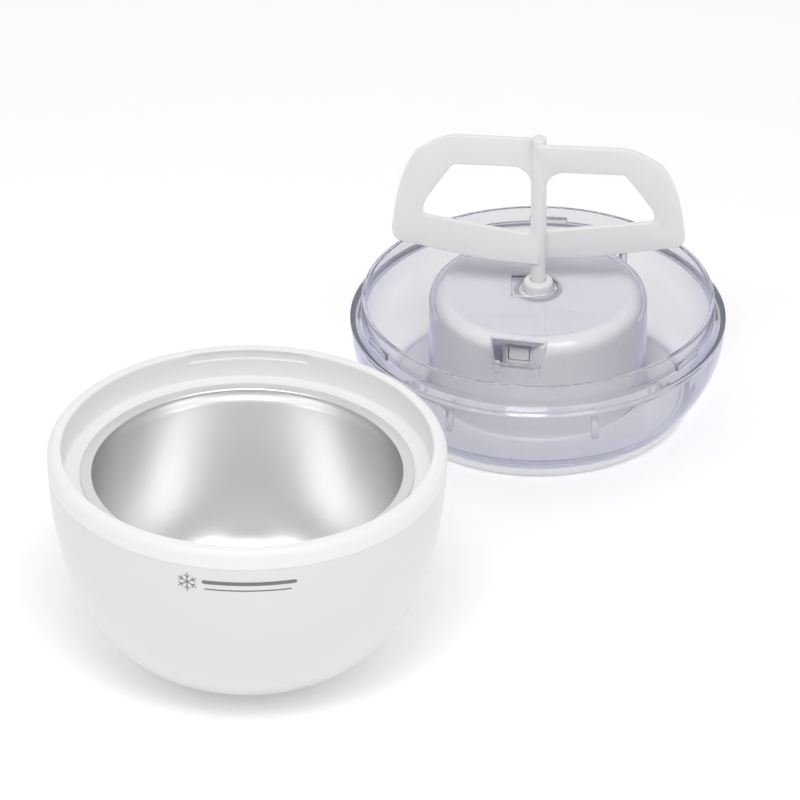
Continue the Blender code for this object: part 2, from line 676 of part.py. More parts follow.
def wiring(frame, cap):
    """The flat cord's gland in the cap's edge, and the leads to the switch and the motor."""
    low, high, half_width = SEAM_Z + 0.0006, SEAT_HEIGHT - 0.0010, 0.0038
    turn = radians(GLAND_ANGLE)
    cut(cap, block("gland_slot", (0.0700, -half_width - 0.0003, SEAM_Z - 0.001),
                   (0.0850, half_width + 0.0003, high + 0.0003), None, frame, turn, cutters))
    side = empty("gland_side", frame, turn=(0, 0, turn))
    half_height = (high - low) / 2
    outline("cord_gland", [stadium(half_width, half_height), stadium(0.0026, half_height - 0.0007)],
            0.0042, RUBBER, side, (0.0756, 0, low + half_height), (pi / 2, 0, pi / 2))
    x, y = ROTOR_AT
    can_top = PLATE_Z + PLATE_T + 0.0270 + 0.0016
    entry = [Vector((*around(radius, GLAND_ANGLE), height))
             for radius, height in ((0.0722, 0.0480), (0.0640, 0.0474), (0.0420, 0.0470))]
    across = Vector((*around(0.0013, GLAND_ANGLE + 90), 0.0))
    live = [point - across for point in entry]
    neutral = [point + across for point in entry]
    tube("lead_live", [*live, (-0.0260, 0.0100, 0.0440), (-0.0215, 0.0030, 0.0405),
                       (-0.0197, 0.0020, 0.0400)], WIRE_R, INSULATION, frame)
    tube("lead_neutral", [*neutral, (-0.0270, 0.0040, 0.0440), (-0.0240, -0.0070, 0.0390),
                          (x - 0.0100, y - 0.0010, can_top + 0.0006), (x - 0.0080, y, can_top)],
         WIRE_R, INSULATION, frame)
    tube("lead_switched", [(0.0197, 0.0, 0.0400), (0.0225, -0.0020, 0.0395), (0.0210, -0.0100, 0.0365),
                           (x + 0.0120, y, can_top + 0.0004), (x + 0.0100, y, can_top)],
         WIRE_R, INSULATION, frame)


def main():
    freezer_bowl()
    frame = empty("lid_upside_down", at=(LID_OFFSET, 0, SEAT_HEIGHT), turn=(0, pi, 0))
    clear_lid(frame)
    drive_hub(frame)
    hub_seal(frame)
    paddle(frame)
    cap = motor_cap(frame)
    motor_housing(frame)
    for side, angle in LATCH_ANGLES.items():
        latch(frame, side, angle)
    switch_and_button(frame)
    gear_plate(frame)
    motor(frame)
    gear_train(frame)
    wiring(frame, cap)


main()
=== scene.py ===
"""Looks of an ice cream maker with a freezer bowl, shown open: the white bowl with its metal liner,
and beside it the clear lid upside down on its motor cap, with the milky paddle standing up.

Sizes are metres. Every new piece is a surface worked out as whole arrays: a profile turned round an
axis, a section carried along a path, or a block with rounded edges. The lid's pieces are worked out
upright, in the lid's own frame whose height 0 is the seat on the rim, and then turned over.
"""

import json

import bmesh
import bpy
import numpy as np
from mathutils import Matrix, Vector


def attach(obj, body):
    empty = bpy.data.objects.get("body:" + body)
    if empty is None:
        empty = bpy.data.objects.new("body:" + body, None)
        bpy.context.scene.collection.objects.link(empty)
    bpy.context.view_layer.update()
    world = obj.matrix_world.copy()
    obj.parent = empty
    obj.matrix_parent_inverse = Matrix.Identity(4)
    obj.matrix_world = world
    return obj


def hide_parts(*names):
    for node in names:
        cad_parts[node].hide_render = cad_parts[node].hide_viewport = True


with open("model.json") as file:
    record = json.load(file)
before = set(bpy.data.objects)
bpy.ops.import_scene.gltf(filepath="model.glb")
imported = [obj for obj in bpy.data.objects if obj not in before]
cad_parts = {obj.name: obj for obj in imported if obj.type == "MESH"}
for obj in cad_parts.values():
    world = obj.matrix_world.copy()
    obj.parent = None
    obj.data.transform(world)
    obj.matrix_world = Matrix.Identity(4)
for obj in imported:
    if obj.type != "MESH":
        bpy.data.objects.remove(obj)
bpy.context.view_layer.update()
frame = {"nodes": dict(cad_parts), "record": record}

# ---------------------------------------------------------------- sizes shared with the solids
BOWL_R = 0.100
BOWL_H = 0.118
SHELL_WALL = 0.0025
RIM_INNER_R = 0.093
LEDGE = BOWL_H - 0.0155
LINER_R = 0.0783
LINER_DEPTH = 0.1085
LINER_WALL = 0.0012
LEDGE_IN_R = 0.0804
NOTCHES = (32.0, 152.0, 272.0)
FILL_AT = (-0.018, 0.010)

LID_X = 0.279
SEAT = 0.052
FLANGE_R = 0.0975
FLANGE_T = 0.003
LIP_R = 0.0915
LIP_DEPTH = 0.0115
LID_WALL = 0.0023
SEAM_R = 0.078
SEAM_Z = 0.046
DECK_Z = 0.043
CUP_R = 0.0566
CUP_FLOOR = -0.0174
CUP_ROUND = 0.009
HUB_R = 0.00775
STEM_R = 0.0038
PADDLE_REACH = 0.106
PADDLE_T = 0.0030
PADDLE_TURN = np.radians(63.0)
PADDLE_PITCH = np.radians(6.0)
LATCHES = {"front": np.radians(-20.7), "back": np.radians(148.0)}
LATCH_PIVOT = (0.0475, 0.0210)
GLAND_TURN = np.radians(148.0)
POCKET_TURN = np.radians(58.0)
RIB_ANGLES = (-50.0, -2.0, 130.0, 178.0)
PADDLE_TOP = -0.0325
MARK_DROP = 0.0200
MARK_TURN = np.radians(209.6)
ROUND_STEPS = 160
SHARP_EDGE = np.radians(35.0)

# ---------------------------------------------------------------- sizes of the studio
FLOOR_HALF = 40.0
FLOOR_Z = -0.0002
STUDIO_MIDDLE = (0.14, 0.0, 0.05)
FRONT = (-0.70, -0.44, 0.56)
CAMERA_AZIMUTH = np.radians(-58.0)
CAMERA_ELEVATION = np.radians(31.5)
CAMERA_DISTANCE = 6.0
CAMERA_SHIFT = (0.0763, 0.0229)
CAMERA_LENS = 541.0


# ---------------------------------------------------------------- surfaces from arrays
def mesh_from(name, grids, wrap_rows):
    """One mesh from closed grids of points (rows, columns, xyz), columns running round.

    Each grid's neighbouring points make quads. Rows that shrink to one point become poles, and a
    skin whose enclosed volume comes out negative is turned so that it faces outwards."""
    whole = bmesh.new()
    for grid in grids:
        rows, columns = grid.shape[:2]
        index = np.arange(rows * columns).reshape(rows, columns)
        first = index if wrap_rows else index[:-1]
        second = np.roll(index, -1, 0) if wrap_rows else index[1:]
        quads = np.stack([first, np.roll(first, -1, 1), np.roll(second, -1, 1), second], -1)
        mesh = bpy.data.meshes.new(name)
        mesh.from_pydata(grid.reshape(-1, 3).tolist(), [], quads.reshape(-1, 4).tolist())
        shape = bmesh.new()
        shape.from_mesh(mesh)
        bmesh.ops.remove_doubles(shape, verts=shape.verts, dist=0.0000005)
        if shape.calc_volume(signed=True) < 0:
            bmesh.ops.reverse_faces(shape, faces=shape.faces)
        shape.to_mesh(mesh)
        shape.free()
        whole.from_mesh(mesh)
        bpy.data.meshes.remove(mesh)
    made = bpy.data.meshes.new(name)
    whole.to_mesh(made)
    whole.free()
    return made


def shown(name, grids, wrap_rows=False):
    """An object over these grids, smooth apart from its sharp edges."""
    made = mesh_from(name, grids, wrap_rows)
    made.shade_smooth()
    made.set_sharp_from_angle(angle=SHARP_EDGE)
    obj = bpy.data.objects.new(name, made)
    bpy.context.scene.collection.objects.link(obj)
    return obj


def carve(obj, grids, operation="DIFFERENCE", wrap_rows=False):
    """The object with these closed skins taken away or added, as one finished mesh."""
    other = shown(obj.name + "_tool", grids, wrap_rows)
    change = obj.modifiers.new("carve", "BOOLEAN")
    change.solver = "EXACT"
    change.operation = operation
    change.object = other
    bpy.context.view_layer.update()
    done = bpy.data.meshes.new_from_object(obj.evaluated_get(bpy.context.evaluated_depsgraph_get()))
    obj.modifiers.clear()
    obj.data = done
    done.shade_smooth()
    done.set_sharp_from_angle(angle=SHARP_EDGE)
    bpy.data.objects.remove(other, do_unlink=True)
    return obj


def rounded(corners, spacing=0.0014, closed=True):
    """A smooth line through (across, up) or (across, up, rounding) corners.

    Each corner gives way to a quadratic Bezier curve that leaves and meets its straight runs one
    rounding away, at most half the run, and long runs are cut into even lengths."""
    spots = np.array([corner[:2] for corner in corners], float)
    reach = np.array([corner[2] if len(corner) > 2 else 0.0 for corner in corners])
    if not closed:
        reach[0] = reach[-1] = 0.0
    back, ahead = np.roll(spots, 1, 0) - spots, np.roll(spots, -1, 0) - spots
    back_length = np.maximum(np.linalg.norm(back, axis=1), 1e-9)
    ahead_length = np.maximum(np.linalg.norm(ahead, axis=1), 1e-9)
    reach = np.minimum(reach, 0.49 * np.minimum(back_length, ahead_length))
    start = (spots + back * (reach / back_length)[:, None])[:, None]
    end = (spots + ahead * (reach / ahead_length)[:, None])[:, None]
    t = np.linspace(0.0, 1.0, 8)[None, :, None]
    line = ((1 - t) ** 2 * start + 2 * t * (1 - t) * spots[:, None] + t ** 2 * end).reshape(-1, 2)
    line = line[np.r_[True, np.linalg.norm(np.diff(line, axis=0), axis=1) > 1e-7]]
    following = np.roll(line, -1, 0) if closed else line[1:]
    runs = []
    for a, b in zip(line, following):
        count = max(int(np.ceil(np.linalg.norm(b - a) / spacing)), 1)
        runs.append(a + (b - a) * (np.arange(count) / count)[:, None])
    if not closed:
        runs.append(line[-1:])
    return np.concatenate(runs)


def bend(centre, radius, first, last, steps=16):
    """Points on a circle round a centre, from one angle to another in degrees."""
    angle = np.radians(np.linspace(first, last, steps + 1))
    return np.stack([centre[0] + radius * np.cos(angle), centre[1] + radius * np.sin(angle)], -1)


def lathe(profile, steps=ROUND_STEPS, centre=(0.0, 0.0)):
    """The grid of a profile (radius, height) turned round an upright axis: x and y are the radius
    times the cosine and sine of the angle round, and z is the height."""
    angle = np.linspace(0.0, 2 * np.pi, steps, endpoint=False)
    radius = profile[:, 0][:, None]
    return np.stack([centre[0] + radius * np.cos(angle), centre[1] + radius * np.sin(angle),
                     np.repeat(profile[:, 1][:, None], steps, 1)], -1)


def block(low, high, rounding, turn=0.0, steps=48):
    """A block with rounded edges: the direction of a sphere point, times the rounding, added to
    the block's corner that lies on that side; then turned round the upright axis."""
    low, high = np.array(low), np.array(high)
    up = np.linspace(-np.pi / 2, np.pi / 2, steps // 2 + 1)[:, None]
    angle = (np.arange(steps) + 0.5) / steps * 2 * np.pi
    ball = np.stack([np.cos(up) * np.cos(angle), np.cos(up) * np.sin(angle),
                     np.sin(up) * np.ones(steps)], -1)
    side = np.sign(np.where(np.abs(ball) < 1e-9, 1e-9, ball))
    grid = (low + high) / 2 + side * ((high - low) / 2 - rounding) + ball * rounding
    middle = (low + high) / 2
    caps = [np.broadcast_to([*middle[:2], end[2]], (1, steps, 3)) for end in (low, high)]
    return spun(np.concatenate([caps[0], grid, caps[1]]), turn)


def prism(loop, low, high):
    """A flat loop of points carried straight up between two heights, closed by fans."""
    middle = loop.mean(0)
    hub = np.broadcast_to(middle, loop.shape)
    rows = [(hub, low), (loop, low), (loop, high), (hub, high)]
    return np.stack([np.concatenate([flat, np.full((len(loop), 1), z)], 1) for flat, z in rows])


def spun(grid, turn):
    """The grid turned round the upright axis of its frame."""
    c, s = np.cos(turn), np.sin(turn)
    return grid @ np.array([[c, s, 0.0], [-s, c, 0.0], [0.0, 0.0, 1.0]])


def turned_over(grid):
    """From the lid's own upright frame to its place upside down beside the bowl: half a turn
    about the depth axis, so across and up change sign."""
    return np.stack([LID_X - grid[..., 0], grid[..., 1], SEAT - grid[..., 2]], -1)


def swept_loop(path, wide, deep, place, steps=20):
    """A bar carried round a closed flat path: its section is a superellipse, wide in the plane of
    the path and deep across it. place turns (across, up, out of plane) into the lid's frame."""
    along = np.roll(path, -1, 0) - np.roll(path, 1, 0)
    along /= np.linalg.norm(along, axis=1)[:, None]
    side = np.stack([along[:, 1], -along[:, 0]], -1)[:, None]
    angle = np.linspace(0.0, 2 * np.pi, steps, endpoint=False)
    c, s = np.cos(angle), np.sin(angle)
    in_plane = (np.sign(c) * np.abs(c) ** 0.45 * wide / 2)[None, :, None]
    out = np.sign(s) * np.abs(s) ** 0.45 * deep / 2
    flat = path[:, None] + side * in_plane
    out = np.broadcast_to(out[None, :, None], (len(path), steps, 1))
    return place(np.concatenate([flat, out], -1))


def softened(value, low, high):
    """0 below low, 1 above high, and an even S-curve between."""
    t = np.clip((value - low) / (high - low), 0.0, 1.0)
    return t * t * (3 - 2 * t)


# ---------------------------------------------------------------- shader node groups and finishes
def node(tree, kind, inputs=None, **settings):
    """A shader node with these settings; inputs are plain values or sockets to link."""
    made = tree.nodes.new(kind)
    for name, value in settings.items():
        setattr(made, name, value)
    for name, value in (inputs or {}).items():
        if isinstance(value, bpy.types.NodeSocket):
            tree.links.new(value, made.inputs[name])
        else:
            made.inputs[name].default_value = value
    return made


def new_group(name, inputs, outputs):
    """An empty node group with float or colour sockets: name to default value."""
    tree = bpy.data.node_groups.new(name, "ShaderNodeTree")
    for socket, value in inputs.items():
        kind = {float: "NodeSocketFloat", tuple: "NodeSocketColor"}[type(value)]
        tree.interface.new_socket(socket, in_out="INPUT", socket_type=kind).default_value = value
    for socket, kind in outputs.items():
        tree.interface.new_socket(socket, in_out="OUTPUT", socket_type=kind)
    return tree, tree.nodes.new("NodeGroupInput"), tree.nodes.new("NodeGroupOutput")


def moulded_group():
    """Moulded surface: a slow drift between two colours, a fine grain as height, and a roughness
    that wanders with both."""
    tree, given, out = new_group(
        "Moulded surface",
        {"Colour": (0.8, 0.8, 0.8, 1.0), "Drift": (0.75, 0.75, 0.75, 1.0), "Drift scale": 14.0,
         "Grain scale": 900.0, "Roughness": 0.3, "Spread": 0.08},
        {"Colour": "NodeSocketColor", "Roughness": "NodeSocketFloat", "Height": "NodeSocketFloat"})
    place = node(tree, "ShaderNodeTexCoord").outputs["Object"]
    slow = node(tree, "ShaderNodeTexNoise", {"Vector": place, "Scale": given.outputs["Drift scale"],
                                             "Detail": 3.0, "Roughness": 0.5})
    fine = node(tree, "ShaderNodeTexNoise", {"Vector": place, "Scale": given.outputs["Grain scale"],
                                             "Detail": 2.0, "Roughness": 0.6})
    drift = node(tree, "ShaderNodeMix", {"Factor": slow.outputs["Fac"]}, data_type="RGBA")
    tree.links.new(given.outputs["Colour"], drift.inputs["A"])
    tree.links.new(given.outputs["Drift"], drift.inputs["B"])
    both = node(tree, "ShaderNodeMath", {0: slow.outputs["Fac"], 1: fine.outputs["Fac"]},
                operation="ADD")
    centred = node(tree, "ShaderNodeMath", {0: both.outputs[0], 1: 1.0}, operation="SUBTRACT")
    wander = node(tree, "ShaderNodeMath", {0: centred.outputs[0], 1: given.outputs["Spread"],
                                           2: given.outputs["Roughness"]}, operation="MULTIPLY_ADD")
    tree.links.new(drift.outputs["Result"], out.inputs["Colour"])
    tree.links.new(wander.outputs[0], out.inputs["Roughness"])
    tree.links.new(fine.outputs["Fac"], out.inputs["Height"])
    return tree


def spun_group():
    """Spun metal: fine rings round an upright axis through the origin, from noise that changes
    quickly with radius and height and slowly round the axis."""
    tree, given, out = new_group(
        "Spun metal",
        {"Ring scale": 900.0, "Round scale": 2.0, "Roughness": 0.3, "Spread": 0.1,
         "Colour": (0.7, 0.7, 0.7, 1.0), "Dark": (0.6, 0.6, 0.6, 1.0)},
        {"Colour": "NodeSocketColor", "Roughness": "NodeSocketFloat", "Height": "NodeSocketFloat"})
    place = node(tree, "ShaderNodeTexCoord").outputs["Object"]
    split = node(tree, "ShaderNodeSeparateXYZ", {"Vector": place})
    x, y, z = (split.outputs[axis] for axis in "XYZ")
    flat = node(tree, "ShaderNodeCombineXYZ", {"X": x, "Y": y})
    radius = node(tree, "ShaderNodeVectorMath", {0: flat.outputs[0]}, operation="LENGTH")
    angle = node(tree, "ShaderNodeMath", {0: y, 1: x}, operation="ARCTAN2")
    ringed = [node(tree, "ShaderNodeMath", {0: value, 1: given.outputs["Ring scale"]},
                   operation="MULTIPLY") for value in (radius.outputs["Value"], z)]
    slow = node(tree, "ShaderNodeMath", {0: angle.outputs[0], 1: given.outputs["Round scale"]},
                operation="MULTIPLY")
    where = node(tree, "ShaderNodeCombineXYZ", {"X": ringed[0].outputs[0], "Y": ringed[1].outputs[0],
                                                "Z": slow.outputs[0]})
    rings = node(tree, "ShaderNodeTexNoise", {"Vector": where.outputs[0], "Scale": 1.0, "Detail": 3.0,
                                              "Roughness": 0.65})
    drift = node(tree, "ShaderNodeMix", {"Factor": rings.outputs["Fac"]}, data_type="RGBA")
    tree.links.new(given.outputs["Colour"], drift.inputs["A"])
    tree.links.new(given.outputs["Dark"], drift.inputs["B"])
    centred = node(tree, "ShaderNodeMath", {0: rings.outputs["Fac"], 1: 0.5}, operation="SUBTRACT")
    wander = node(tree, "ShaderNodeMath", {0: centred.outputs[0], 1: given.outputs["Spread"],
                                           2: given.outputs["Roughness"]}, operation="MULTIPLY_ADD")
    tree.links.new(drift.outputs["Result"], out.inputs["Colour"])
    tree.links.new(wander.outputs[0], out.inputs["Roughness"])
    tree.links.new(rings.outputs["Fac"], out.inputs["Height"])
    return tree


MOULDED = moulded_group()
SPUN = spun_group()


def finish(name, group, values, bump, shader_values):
    """A material: the Principled shader with plain values, fed by one group and a bump."""
    made = bpy.data.materials.new(name)
    made.use_nodes = True
    tree = made.node_tree
    shader = tree.nodes["Principled BSDF"]
    for socket, value in shader_values.items():
        shader.inputs[socket].default_value = value
    effect = node(tree, "ShaderNodeGroup", node_tree=group)
    for socket, value in values.items():
        effect.inputs[socket].default_value = (*value, 1.0) if isinstance(value, tuple) else value
    raised = node(tree, "ShaderNodeBump", {"Strength": 1.0, "Distance": bump,
                                           "Height": effect.outputs["Height"]})
    tree.links.new(effect.outputs["Colour"], shader.inputs["Base Color"])
    tree.links.new(effect.outputs["Roughness"], shader.inputs["Roughness"])
    tree.links.new(raised.outputs["Normal"], shader.inputs["Normal"])
    return made


def plastic(name, colour, drift, roughness, grain=900.0, bump=0.000004, spread=0.06, **more):
    """Moulded plastic or rubber in one colour that drifts a little towards another."""
    values = {"Colour": colour, "Drift": drift, "Roughness": roughness, "Grain scale": grain,
              "Spread": spread}
    return finish(name, MOULDED, values, bump, more)


def metal(name, colour, dark, roughness, group=MOULDED, bump=0.000004, spread=0.12, **more):
    """Bare metal: grained, or ringed where it was spun or turned."""
    values = {"Colour": colour, "Roughness": roughness, "Spread": spread}
    values["Drift" if group is MOULDED else "Dark"] = dark
    return finish(name, group, values, bump, {"Metallic": 1.0, **more})


def clear_plastic():
    """Clear plastic whose own faint violet shows where light runs a long way through it: edges,
    lips and grazing walls. Shadow rays pass, so what stands inside stays lit."""
    made = bpy.data.materials.new("clear_plastic")
    made.use_nodes = True
    tree = made.node_tree
    shader = tree.nodes["Principled BSDF"]
    shader.inputs["Transmission Weight"].default_value = 0.90
    shader.inputs["IOR"].default_value = 1.49
    effect = node(tree, "ShaderNodeGroup", node_tree=MOULDED)
    for socket, value in {"Colour": (0.90, 0.90, 0.905, 1.0), "Drift": (0.88, 0.88, 0.885, 1.0),
                          "Roughness": 0.03, "Spread": 0.02, "Grain scale": 60.0}.items():
        effect.inputs[socket].default_value = value
    edge = node(tree, "ShaderNodeLayerWeight", {"Blend": 0.5})
    grazing = node(tree, "ShaderNodeMath", {0: edge.outputs["Facing"], 1: 2.8}, operation="POWER")
    tint = node(tree, "ShaderNodeMix", {"Factor": grazing.outputs[0]}, data_type="RGBA",
                blend_type="MULTIPLY")
    tree.links.new(effect.outputs["Colour"], tint.inputs["A"])
    tint.inputs["B"].default_value = (0.05, 0.06, 0.55, 1.0)
    tree.links.new(tint.outputs["Result"], shader.inputs["Base Color"])
    tree.links.new(effect.outputs["Roughness"], shader.inputs["Roughness"])
    path = node(tree, "ShaderNodeLightPath")
    passing = node(tree, "ShaderNodeMath", {0: path.outputs["Is Shadow Ray"], 1: -0.96, 2: 1.0},
                   operation="MULTIPLY_ADD")
    tree.links.new(passing.outputs[0], shader.inputs["Alpha"])
    deep = node(tree, "ShaderNodeVolumeAbsorption", {"Color": (0.30, 0.31, 0.86, 1.0), "Density": 9.0})
    tree.links.new(deep.outputs[0], tree.nodes["Material Output"].inputs["Volume"])
    return made


FINISH = {
    "white_shell": plastic("white_shell", (0.75, 0.75, 0.75), (0.735, 0.735, 0.735), 0.30,
                           **{"Coat Weight": 0.25, "Coat Roughness": 0.12}),
    "milky_rim": plastic("milky_rim", (0.85, 0.862, 0.85), (0.835, 0.848, 0.837), 0.42, bump=0.000008,
                         **{"Subsurface Weight": 0.35, "Subsurface Radius": (0.006, 0.006, 0.006)}),
    "liner_metal": metal("liner_metal", (0.90, 0.90, 0.905), (0.87, 0.87, 0.875), 0.30, SPUN,
                         bump=0.0000003, spread=0.04),
    "clear_plastic": clear_plastic(),
    "white_motor": plastic("white_motor", (0.78, 0.78, 0.782), (0.76, 0.76, 0.762), 0.28,
                           **{"Coat Weight": 0.2, "Coat Roughness": 0.1}),
    "milky_paddle": plastic("milky_paddle", (0.80, 0.802, 0.804), (0.78, 0.782, 0.785), 0.40,
                            bump=0.000008, **{"Subsurface Weight": 0.4,
                                              "Subsurface Radius": (0.008, 0.008, 0.008)}),
    "grey_rubber": plastic("grey_rubber", (0.36, 0.365, 0.37), (0.31, 0.315, 0.32), 0.62, bump=0.00002),
    "cooling_gel": plastic("cooling_gel", (0.22, 0.42, 0.68), (0.16, 0.34, 0.60), 0.22, grain=120.0,
                           **{"Subsurface Weight": 0.3, "Subsurface Radius": (0.004, 0.006, 0.010)}),
    "steel": metal("steel", (0.58, 0.58, 0.60), (0.50, 0.50, 0.52), 0.34),
    "brass": metal("brass", (0.72, 0.52, 0.22), (0.62, 0.44, 0.18), 0.36),
    "copper_wire": metal("copper_wire", (0.62, 0.26, 0.12), (0.50, 0.18, 0.08), 0.32, SPUN, 0.00006),
    "ferrite": plastic("ferrite", (0.045, 0.045, 0.05), (0.03, 0.03, 0.032), 0.58, bump=0.00001),
    "gear_plastic": plastic("gear_plastic", (0.78, 0.76, 0.71), (0.73, 0.71, 0.66), 0.38),
    "wire_insulation": plastic("wire_insulation", (0.10, 0.14, 0.36), (0.08, 0.11, 0.30), 0.40),
}
MARK_GREY = plastic("mark_grey", (0.16, 0.16, 0.165), (0.20, 0.20, 0.205), 0.35)


def piece(obj, body, slot, cad_node=None, look=None):
    """The object takes its finish, rides with its body and stands for its CAD node."""
    obj.data.materials.clear()
    obj.data.materials.append(look or FINISH[slot])
    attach(obj, body)
    if cad_node:
        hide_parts(cad_node)
    return obj


# ---------------------------------------------------------------- freezer bowl
def shell_radius(drop):
    """The bowl's radius this far below the rim: its full radius times one minus the drop's share
    to the power 2.08, all to the power 1/3.4."""
    return BOWL_R * np.maximum(1 - (drop / (1.2 * BOWL_R)) ** 2.08, 0.0) ** (1 / 3.4)


def liner_radius(drop):
    """The liner's radius this far below the rim: steep sides, power 3.4, and a full bottom, the
    fifth root."""
    return LINER_R * np.maximum(1 - (drop / (LINER_DEPTH + 0.001)) ** 3.4, 0.0) ** (1 / 5)


def crowding(first, last, steps):
    """Values that crowd towards the last, as the sine of a quarter turn does."""
    return first + (last - first) * np.sin(np.linspace(0.0, np.pi / 2, steps))


def moved_aside(line, distance):
    """The line moved sideways, to the right of its direction of travel."""
    along = np.gradient(line, axis=0)
    along /= np.linalg.norm(along, axis=1)[:, None]
    return line + distance * np.stack([along[:, 1], -along[:, 0]], -1)


def outer_shell():
    """The white outer body: its wall follows the belly curve down to the flat foot."""
    drop = crowding(0.0105, BOWL_H, 84)
    outside = np.stack([shell_radius(drop), BOWL_H - drop], -1)
    inside = moved_aside(outside, SHELL_WALL)
    inside = inside[(inside[:, 1] > SHELL_WALL) & (inside[:, 1] < outside[0, 1] - 0.0002)]
    profile = rounded([(0.0, SHELL_WALL), (inside[-1, 0], SHELL_WALL), *inside[::-1],
                       (inside[0, 0], outside[0, 1]), (outside[0, 0], outside[0, 1], 0.0002),
                       *outside[1:-1], (outside[-1, 0], 0.0, 0.0010), (0.0, 0.0)], 0.003, closed=False)
    body = shown("outer_shell_look", [lathe(profile)])
    hole = lathe(np.array([(0.0, -0.01), (0.0064, -0.01), (0.0064, 0.01), (0.0, 0.01)]), 64, FILL_AT)
    return piece(carve(body, [hole]), "freezer_bowl", "white_shell", "outer_shell")


def rim_ring():
    """The milky rim: a round crest outside, a recess for the lid's lip inside with three shallow
    notches, and the ledge that carries the liner's rolled edge."""
    under, groove = LEDGE - 0.003, LEDGE - 0.0012
    skirt = shell_radius(0.010) - SHELL_WALL - 0.0003
    notch_low = BOWL_H - 0.0055
    profile = rounded([
        *bend((0.0958, BOWL_H - 0.0042), 0.0042, 92, 0, 18),
        (shell_radius(0.009), BOWL_H - 0.01042, 0.0002),
        (skirt, BOWL_H - 0.01042), (skirt - 0.0008, under), (LEDGE_IN_R, under),
        (LEDGE_IN_R, LEDGE, 0.0003),
        (0.0808, LEDGE), (0.0808, groove), (0.0831, groove), (0.0831, LEDGE),
        (RIM_INNER_R - 0.0012, LEDGE, 0.0012),
        (RIM_INNER_R - 0.0005, notch_low), (RIM_INNER_R - 0.00049, notch_low + 0.0001),
        (RIM_INNER_R, BOWL_H, 0.0016),
    ], 0.0016)
    grid = lathe(profile, 360)
    angle = np.degrees(np.arctan2(grid[..., 1], grid[..., 0]))
    away = np.min([np.abs((angle - notch + 180) % 360 - 180) for notch in NOTCHES], axis=0)
    inside = 1 - softened(away, 18.2, 19.4)
    radius = np.hypot(grid[..., 0], grid[..., 1])
    wall = (radius < 0.0946) & (radius > 0.091) & (grid[..., 2] > notch_low + 0.00005)
    below_crest = softened(BOWL_H - grid[..., 2], 0.0003, 0.0022)
    wider = np.where(wall, radius + (0.0938 - radius).clip(0) * inside * below_crest, radius)
    grid[..., :2] *= (wider / radius)[..., None]
    return piece(shown("rim_ring_look", [grid], True), "freezer_bowl", "milky_rim", "rim_ring")


def liner():
    """The spun aluminium liner: a flange on the ledge that rolls over into a steep wall and a full,
    flat bottom."""
    drop = crowding(0.0215, LINER_DEPTH, 90)
    inside = np.stack([liner_radius(drop), BOWL_H - drop], -1)
    outside = moved_aside(inside, -LINER_WALL)
    outside[:, 0] = np.maximum(outside[:, 0], 0.0)
    bead = LEDGE + 0.0003
    profile = rounded([
        (0.0, inside[-1, 1]), (inside[-1, 0], inside[-1, 1], 0.006), *inside[::-1][1:],
        (0.0776, bead - 0.0024, 0.0012), (0.0776, bead + 0.0012, 0.0028),
        (0.0836, bead + 0.0010, 0.0004), (0.0836, bead, 0.0004), (0.0790, bead, 0.0012),
        (0.0790, bead - 0.0030, 0.0006), *outside,
        (0.0, outside[-1, 1]),
    ], 0.002, closed=False)
    return piece(shown("liner_look", [lathe(profile, 200)]), "freezer_bowl", "liner_metal", "liner")


def stroke(start, end, wide):
    """One rounded stroke of the printed mark, as a thin closed skin on the shell: across turns
    into the angle round the bowl and down into the drop, both measured along the surface."""
    start, end = np.array(start), np.array(end)
    length = np.linalg.norm(end - start)
    along = (end - start) / length
    side = np.array([-along[1], along[0]])
    t = np.linspace(0.0, np.pi, 21)[:, None, None]
    angle = np.linspace(0.0, 2 * np.pi, 12, endpoint=False)[None, :, None]
    reach = length / 2 - (length / 2 + wide / 2) * np.cos(t)
    width = wide / 2 * np.sqrt(np.clip(1 - ((np.abs(reach - length / 2) - length / 2)
                                            .clip(0) / (wide / 2)) ** 2, 0, 1))
    flat = start + along * reach + side * (width * np.cos(angle))
    lift = 0.00006 * np.sin(angle) * (width > 0)
    drop = MARK_DROP + flat[..., 1:2]
    radius = shell_radius(drop) + 0.00003 + lift
    round_at = MARK_TURN - flat[..., 0:1] / -shell_radius(drop)
    return np.concatenate([radius * np.cos(round_at), radius * np.sin(round_at), BOWL_H - drop], -1)


def printed_mark():
    """A plain grey snowflake with two short bars beside it."""
    strokes = []
    centre, arm, twig = np.array([-0.0250, 0.0]), 0.0052, 0.0018
    for turn in np.radians(np.arange(0, 360, 60) + 90.0):
        out = np.array([np.cos(turn), np.sin(turn)])
        strokes.append(stroke(centre, centre + out * arm, 0.0006))
        for lean in (-1.0, 1.0):
            branch = np.array([np.cos(turn + lean * 0.9), np.sin(turn + lean * 0.9)])
            root = centre + out * arm * 0.55
            strokes.append(stroke(root, root + branch * twig, 0.0005))
    strokes.append(stroke((-0.0165, -0.0012), (0.0290, -0.0012), 0.0022))
    strokes.append(stroke((-0.0160, 0.0030), (0.0270, 0.0030), 0.0008))
    return piece(shown("printed_mark", strokes), "freezer_bowl", "grey_rubber", look=MARK_GREY)


# ---------------------------------------------------------------- clear lid
def dome_radius(z):
    """The lid wall's outer radius at this height: a quarter ellipse above the flange."""
    return (FLANGE_R - 0.0005) * np.sqrt(1 - ((z - FLANGE_T) / 0.0723) ** 2)


def pocket_line():
    """The outline of the pocket round the stem: a half circle closed by a straight end."""
    flat_end = [(0.0138, -0.0106, 0.0012), (0.0138, 0.0106, 0.0012)]
    return rounded([*flat_end, *bend((0.0, 0.0), 0.0106, 90, 270, 40)], 0.002)


